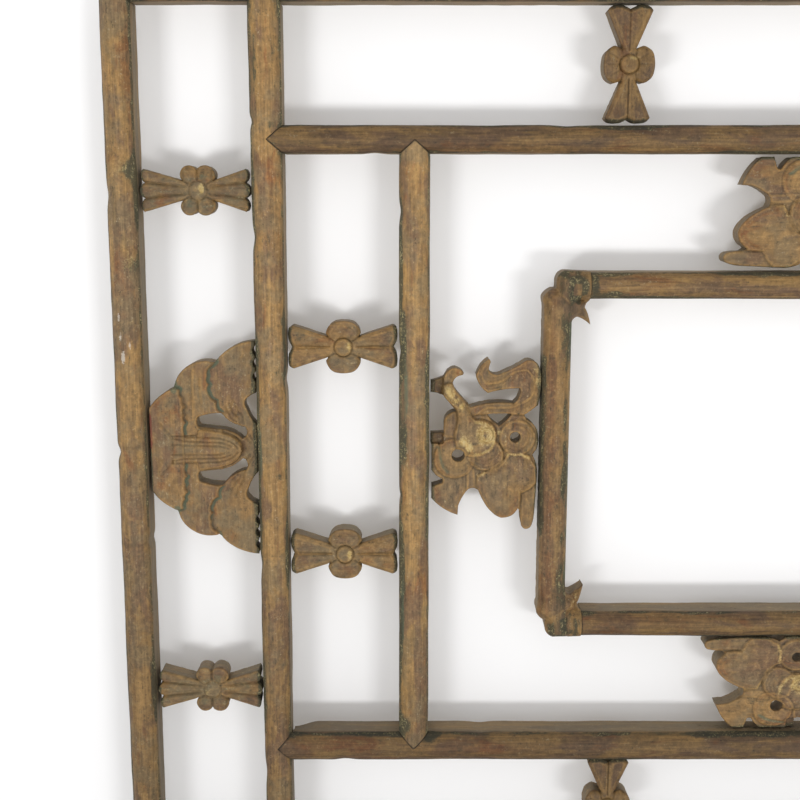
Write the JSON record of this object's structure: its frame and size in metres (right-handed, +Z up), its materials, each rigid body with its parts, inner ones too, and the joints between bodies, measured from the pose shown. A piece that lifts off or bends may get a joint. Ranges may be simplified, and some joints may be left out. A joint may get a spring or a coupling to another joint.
{
  "type": "wooden wall decoration",
  "caption": "Carved wooden lattice panel: nested round-faced strips with flower bows, bats and butterflies let in between, made to hang on a wall or be built into a frame.",
  "frame": {"origin": "middle of the top rail's flat back face, where the panel hangs against the wall", "axes": "+X to the right as seen from the front, +Y through the back towards the wall, +Z up; the carved front faces -Y"},
  "size_m": [0.841, 0.0225, 0.5718],
  "materials": {
    "strip_wood": "aged, worn brown with dark patina in the joints",
    "bow_wood": "aged grey-brown with a trace of gilding on the boss",
    "bat_wood": "aged brown with green paint left in the grooves",
    "butterfly_wood": "aged brown with worn gilding and green paint left in the grooves"
  },
  "bodies": {
    "root": {"bat_left": "bat_wood", "bat_right": "bat_wood", "bow_outer_left_bottom": "bow_wood", "bow_outer_left_top": "bow_wood", "bow_outer_right_bottom": "bow_wood", "bow_outer_right_top": "bow_wood", "bow_row_left_bottom": "bow_wood", "bow_row_left_top": "bow_wood", "bow_row_right_bottom": "bow_wood", "bow_row_right_top": "bow_wood", "bow_second_left_bottom": "bow_wood", "bow_second_left_top": "bow_wood", "bow_second_right_bottom": "bow_wood", "bow_second_right_top": "bow_wood", "butterfly_bottom": "butterfly_wood", "butterfly_left": "butterfly_wood", "butterfly_right": "butterfly_wood", "butterfly_top": "butterfly_wood", "rail_inner_bottom": "strip_wood", "rail_inner_top": "strip_wood", "rail_outer_bottom": "strip_wood", "rail_outer_top": "strip_wood", "rail_second_bottom": "strip_wood", "rail_second_top": "strip_wood", "stile_inner_left": "strip_wood", "stile_inner_right": "strip_wood", "stile_outer_left": "strip_wood", "stile_outer_right": "strip_wood", "stile_second_left": "strip_wood", "stile_second_right": "strip_wood", "stile_third_left": "strip_wood", "stile_third_right": "strip_wood"}
  },
  "joints": []
}
